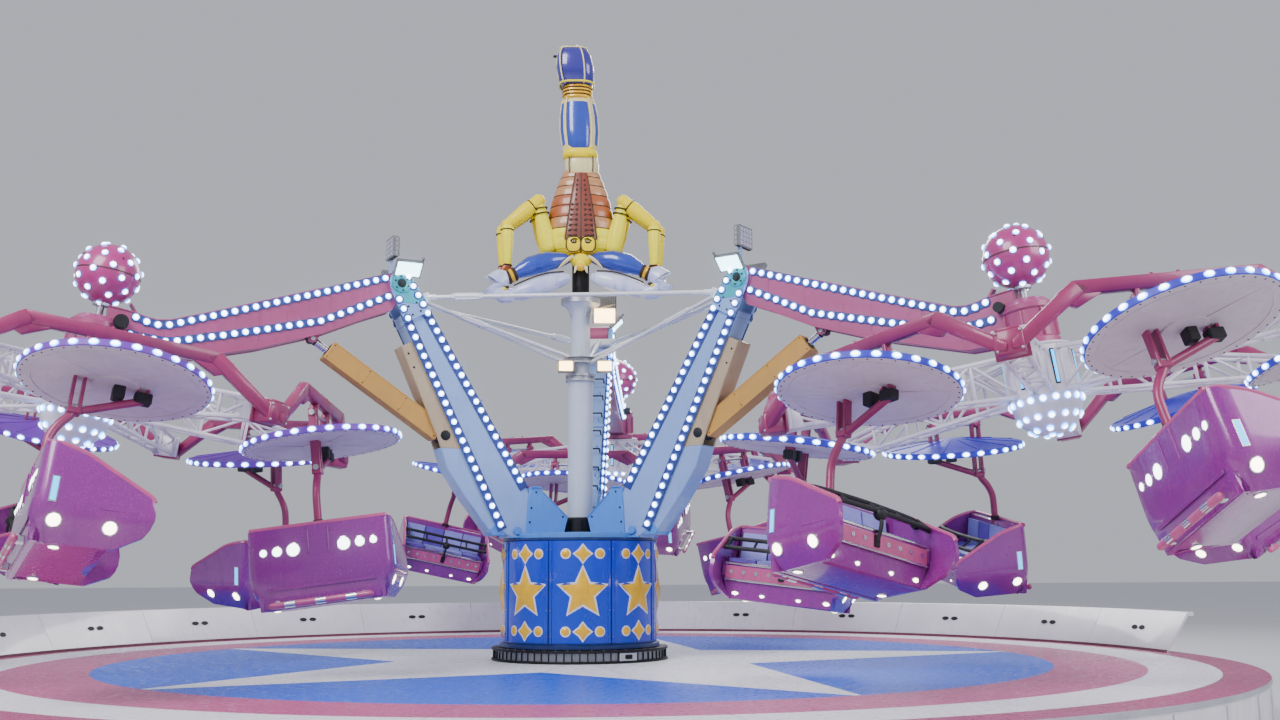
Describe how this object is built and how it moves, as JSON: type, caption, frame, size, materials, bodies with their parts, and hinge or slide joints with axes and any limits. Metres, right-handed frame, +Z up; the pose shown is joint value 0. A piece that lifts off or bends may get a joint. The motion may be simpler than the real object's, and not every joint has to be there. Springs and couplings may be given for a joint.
{
  "type": "three-arm spider gondola ride",
  "caption": "Fairground ride: turning drum, masts and lifting booms, each with a turning spider of canopied two-seat gondolas, a scorpion on the column, and a round deck with a raised rim.",
  "frame": {"origin": "on the ground under the middle of the round platform", "axes": "+Z up; +Y away from the viewer, to the back where the raised rim stands; +X to the viewer's right"},
  "size_m": [17.5372, 17.1829, 8.24],
  "materials": {
    "deck": "gloss",
    "rim": "satin",
    "drum_cladding": "gloss",
    "mast_paint": "satin",
    "column_steel": "satin",
    "figure": "gloss",
    "boom_paint": "satin",
    "ball": "gloss",
    "ram_cover": "satin",
    "ram_rod": "polished",
    "spider_paint": "satin",
    "beam_paint": "satin",
    "canopy": "satin",
    "tub": "gloss"
  },
  "bodies": {
    "base": {"platform": "deck", "platform_rim": "rim"},
    "rotor": {"drum": "drum_cladding", "mast_frame": "mast_paint", "column_with_ties": "column_steel", "scorpion_figure": "figure"},
    "boom_rear": {"boom_rear": "boom_paint", "light_ball_rear": "ball"},
    "barrel_rear": {"ram_barrel_rear": "ram_cover"},
    "rod_rear": {"ram_rod_rear": "ram_rod"},
    "spider_rear": {"spider_rear": "spider_paint", "bridge_ring_rear": "beam_paint"},
    "gondola_rear_1": {"hanger_rear_1": "canopy", "gondola_rear_1": "tub"},
    "gondola_rear_2": {"hanger_rear_2": "canopy", "gondola_rear_2": "tub"},
    "gondola_rear_3": {"hanger_rear_3": "canopy", "gondola_rear_3": "tub"},
    "gondola_rear_4": {"hanger_rear_4": "canopy", "gondola_rear_4": "tub"},
    "gondola_rear_5": {"hanger_rear_5": "canopy", "gondola_rear_5": "tub"},
    "gondola_rear_6": {"hanger_rear_6": "canopy", "gondola_rear_6": "tub"},
    "boom_right": {"boom_right": "boom_paint", "light_ball_right": "ball"},
    "barrel_right": {"ram_barrel_right": "ram_cover"},
    "rod_right": {"ram_rod_right": "ram_rod"},
    "spider_right": {"spider_right": "spider_paint", "bridge_ring_right": "beam_paint"},
    "gondola_right_1": {"hanger_right_1": "canopy", "gondola_right_1": "tub"},
    "gondola_right_2": {"hanger_right_2": "canopy", "gondola_right_2": "tub"},
    "gondola_right_3": {"hanger_right_3": "canopy", "gondola_right_3": "tub"},
    "gondola_right_4": {"hanger_right_4": "canopy", "gondola_right_4": "tub"},
    "gondola_right_5": {"hanger_right_5": "canopy", "gondola_right_5": "tub"},
    "gondola_right_6": {"hanger_right_6": "canopy", "gondola_right_6": "tub"},
    "boom_left": {"boom_left": "boom_paint", "light_ball_left": "ball"},
    "barrel_left": {"ram_barrel_left": "ram_cover"},
    "rod_left": {"ram_rod_left": "ram_rod"},
    "spider_left": {"spider_left": "spider_paint", "bridge_ring_left": "beam_paint"},
    "gondola_left_1": {"hanger_left_1": "canopy", "gondola_left_1": "tub"},
    "gondola_left_2": {"hanger_left_2": "canopy", "gondola_left_2": "tub"},
    "gondola_left_3": {"hanger_left_3": "canopy", "gondola_left_3": "tub"},
    "gondola_left_4": {"hanger_left_4": "canopy", "gondola_left_4": "tub"},
    "gondola_left_5": {"hanger_left_5": "canopy", "gondola_left_5": "tub"},
    "gondola_left_6": {"hanger_left_6": "canopy", "gondola_left_6": "tub"}
  },
  "joints": [
    {"name": "ride_turn", "type": "hinge", "parent": "base", "child": "rotor", "pos_m": [0, 0, 0.6], "axis": [0, 0, 1], "continuous": true},
    {"name": "boom_lift_rear", "type": "hinge", "parent": "rotor", "child": "boom_rear", "pos_m": [0.25812, 2.37602, 4.845], "axis": [0.9942, -0.108, 0], "range_deg": [-7, 12]},
    {"name": "barrel_tilt_rear", "type": "hinge", "parent": "rotor", "child": "barrel_rear", "pos_m": [0.1944, 1.78947, 3.085], "axis": [0.9942, -0.108, 0], "range_deg": [-2, 3.3]},
    {"name": "rod_slide_rear", "type": "slide", "parent": "barrel_rear", "child": "rod_rear", "axis": [0.0896, 0.8252, 0.5577], "range_m": [-0.15, 0.25]},
    {"name": "spider_turn_rear", "type": "hinge", "parent": "boom_rear", "child": "spider_rear", "pos_m": [0.62155, 5.72148, 3.47663], "axis": [-0.0162, -0.1487, 0.9888], "continuous": true},
    {"name": "gondola_swing_rear_1", "type": "hinge", "parent": "spider_rear", "child": "gondola_rear_1", "pos_m": [-1.14492, 7.5481, 3.69207], "axis": [0.7208, 0.6836, 0.1146], "range_deg": [-37, 25]},
    {"name": "gondola_swing_rear_2", "type": "hinge", "parent": "spider_rear", "child": "gondola_rear_2", "pos_m": [-1.8533, 5.12743, 3.31655], "axis": [-0.2397, 0.9606, 0.1405], "range_deg": [-37, 25]},
    {"name": "gondola_swing_rear_3", "type": "hinge", "parent": "spider_rear", "child": "gondola_rear_3", "pos_m": [-0.08634, 3.30526, 3.07144], "axis": [-0.9605, 0.277, 0.026], "range_deg": [-37, 25]},
    {"name": "gondola_swing_rear_4", "type": "hinge", "parent": "spider_rear", "child": "gondola_rear_4", "pos_m": [2.38899, 3.90377, 3.20186], "axis": [-0.7208, -0.6836, -0.1146], "range_deg": [-37, 25]},
    {"name": "gondola_swing_rear_5", "type": "hinge", "parent": "spider_rear", "child": "gondola_rear_5", "pos_m": [3.09737, 6.32445, 3.57738], "axis": [0.2397, -0.9606, -0.1405], "range_deg": [-37, 25]},
    {"name": "gondola_swing_rear_6", "type": "hinge", "parent": "spider_rear", "child": "gondola_rear_6", "pos_m": [1.33041, 8.14662, 3.82249], "axis": [0.9605, -0.277, -0.026], "range_deg": [-37, 25]},
    {"name": "boom_lift_right", "type": "hinge", "parent": "rotor", "child": "boom_right", "pos_m": [1.92864, -1.41155, 4.845], "axis": [-0.5906, -0.807, 0], "range_deg": [-7, 12]},
    {"name": "barrel_tilt_right", "type": "hinge", "parent": "rotor", "child": "barrel_right", "pos_m": [1.45253, -1.06309, 3.085], "axis": [-0.5906, -0.807, 0], "range_deg": [-2, 3.3]},
    {"name": "rod_slide_right", "type": "slide", "parent": "barrel_right", "child": "rod_right", "axis": [0.6698, -0.4902, 0.5577], "range_m": [-0.15, 0.25]},
    {"name": "spider_turn_right", "type": "hinge", "parent": "boom_right", "child": "spider_right", "pos_m": [4.64417, -3.39902, 3.47663], "axis": [-0.1207, 0.0883, 0.9888], "continuous": true},
    {"name": "gondola_swing_right_1", "type": "hinge", "parent": "spider_right", "child": "gondola_right_1", "pos_m": [6.93806, -4.4587, 3.82089], "axis": [-0.4228, -0.9057, 0.0293], "range_deg": [-37, 25]},
    {"name": "gondola_swing_right_2", "type": "hinge", "parent": "spider_right", "child": "gondola_right_2", "pos_m": [6.72665, -1.92997, 3.56922], "axis": [0.5664, -0.8119, 0.1416], "range_deg": [-37, 25]},
    {"name": "gondola_swing_right_3", "type": "hinge", "parent": "spider_right", "child": "gondola_right_3", "pos_m": [4.43638, -0.87294, 3.1953], "axis": [0.9892, 0.0939, 0.1123], "range_deg": [-37, 25]},
    {"name": "gondola_swing_right_4", "type": "hinge", "parent": "spider_right", "child": "gondola_right_4", "pos_m": [2.35751, -2.34463, 3.07304], "axis": [0.4228, 0.9057, -0.0293], "range_deg": [-37, 25]},
    {"name": "gondola_swing_right_5", "type": "hinge", "parent": "spider_right", "child": "gondola_right_5", "pos_m": [2.56893, -4.87336, 3.32471], "axis": [-0.5664, 0.8119, -0.1416], "range_deg": [-37, 25]},
    {"name": "gondola_swing_right_6", "type": "hinge", "parent": "spider_right", "child": "gondola_right_6", "pos_m": [4.8592, -5.9304, 3.69863], "axis": [-0.9892, -0.0939, -0.1123], "range_deg": [-37, 25]},
    {"name": "boom_lift_left", "type": "hinge", "parent": "rotor", "child": "boom_left", "pos_m": [-2.18675, -0.96447, 4.845], "axis": [-0.4035, 0.915, 0], "range_deg": [-7, 12]},
    {"name": "barrel_tilt_left", "type": "hinge", "parent": "rotor", "child": "barrel_left", "pos_m": [-1.64693, -0.72638, 3.085], "axis": [-0.4035, 0.915, 0], "range_deg": [-2, 3.3]},
    {"name": "rod_slide_left", "type": "slide", "parent": "barrel_left", "child": "rod_left", "axis": [-0.7594, -0.3349, 0.5577], "range_m": [-0.15, 0.25]},
    {"name": "spider_turn_left", "type": "hinge", "parent": "boom_left", "child": "spider_left", "pos_m": [-5.26572, -2.32246, 3.47663], "axis": [0.1368, 0.0603, 0.9888], "continuous": true},
    {"name": "gondola_swing_left_1", "type": "hinge", "parent": "spider_left", "child": "gondola_left_1", "pos_m": [-6.61065, -4.47008, 3.76346], "axis": [-0.8395, 0.5369, 0.0834], "range_deg": [-37, 25]},
    {"name": "gondola_swing_left_2", "type": "hinge", "parent": "spider_left", "child": "gondola_left_2", "pos_m": [-4.08626, -4.58281, 3.42103], "axis": [-0.8751, -0.4603, 0.1492], "range_deg": [-37, 25]},
    {"name": "gondola_swing_left_3", "type": "hinge", "parent": "spider_left", "child": "gondola_left_3", "pos_m": [-2.74544, -2.437, 3.10453], "axis": [-0.0356, -0.9972, 0.0658], "range_deg": [-37, 25]},
    {"name": "gondola_swing_left_4", "type": "hinge", "parent": "spider_left", "child": "gondola_left_4", "pos_m": [-3.929, -0.17846, 3.13047], "axis": [0.8395, -0.5369, -0.0834], "range_deg": [-37, 25]},
    {"name": "gondola_swing_left_5", "type": "hinge", "parent": "spider_left", "child": "gondola_left_5", "pos_m": [-6.45339, -0.06573, 3.4729], "axis": [0.8751, 0.4603, -0.1492], "range_deg": [-37, 25]},
    {"name": "gondola_swing_left_6", "type": "hinge", "parent": "spider_left", "child": "gondola_left_6", "pos_m": [-7.79421, -2.21154, 3.7894], "axis": [0.0356, 0.9972, -0.0658], "range_deg": [-37, 25]}
  ],
  "couplings": [
    {"joint": "barrel_tilt_rear", "follows": "boom_lift_rear", "ratio": 0.239},
    {"joint": "rod_slide_rear", "follows": "boom_lift_rear", "m_per_rad": 1.1251},
    {"joint": "barrel_tilt_right", "follows": "boom_lift_right", "ratio": 0.239},
    {"joint": "rod_slide_right", "follows": "boom_lift_right", "m_per_rad": 1.1251},
    {"joint": "barrel_tilt_left", "follows": "boom_lift_left", "ratio": 0.239},
    {"joint": "rod_slide_left", "follows": "boom_lift_left", "m_per_rad": 1.1251}
  ]
}
